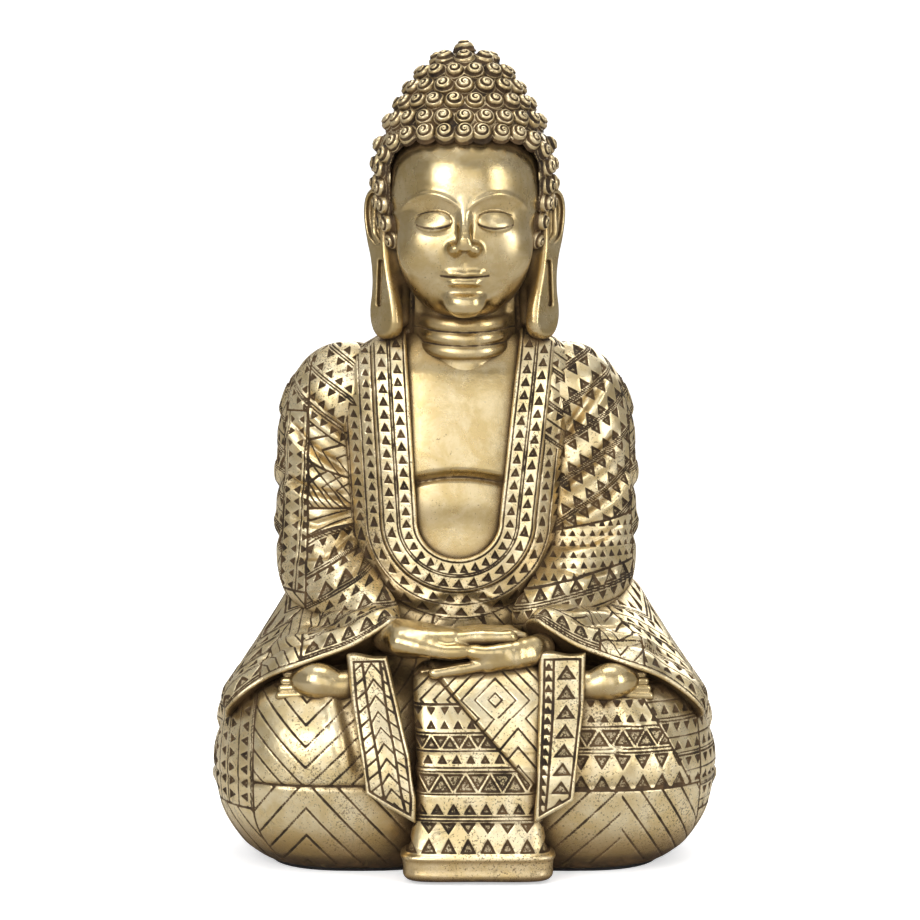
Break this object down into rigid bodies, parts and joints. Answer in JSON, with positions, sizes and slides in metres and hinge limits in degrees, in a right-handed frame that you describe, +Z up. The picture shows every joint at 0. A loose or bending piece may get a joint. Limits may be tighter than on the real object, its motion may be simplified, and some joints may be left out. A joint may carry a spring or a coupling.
{
  "type": "seated buddha statue",
  "caption": "Seated meditating Buddha figure in antiqued gold, with carved robe, curled hair and hands in the lap, on a flat felt base.",
  "frame": {"origin": "centre of the underside, on the surface that the statue stands on", "axes": "+Z up, the figure faces -Y, +X is the figure's left hand side"},
  "size_m": [0.2476, 0.172, 0.4],
  "materials": {
    "skin_gold": "polished gold leaf paint on cast resin, dark wax left in the creases",
    "robe_gold": "gold paint rubbed over carved bands, dark brown wax in the cuts, worn and speckled",
    "hair_gold": "gold paint on coiled curls with dark wax between them",
    "raw_resin": "unpainted cast resin, dull",
    "felt": "black felt sheet"
  },
  "bodies": {
    "root": {"felt_base": "felt", "base_plate": "raw_resin", "crossed_legs": "robe_gold", "front_apron": "robe_gold", "right_sash": "robe_gold", "left_sash": "robe_gold", "right_foot": "skin_gold", "left_foot": "skin_gold", "torso_robe": "robe_gold", "chest": "skin_gold", "collar_band": "robe_gold", "right_sleeve": "robe_gold", "left_sleeve": "robe_gold", "right_cuff": "robe_gold", "left_cuff": "robe_gold", "right_hand": "skin_gold", "left_hand": "skin_gold", "neck": "skin_gold", "head": "skin_gold", "right_ear": "skin_gold", "left_ear": "skin_gold", "hair_cap": "hair_gold", "hair_curls": "hair_gold"}
  },
  "joints": []
}
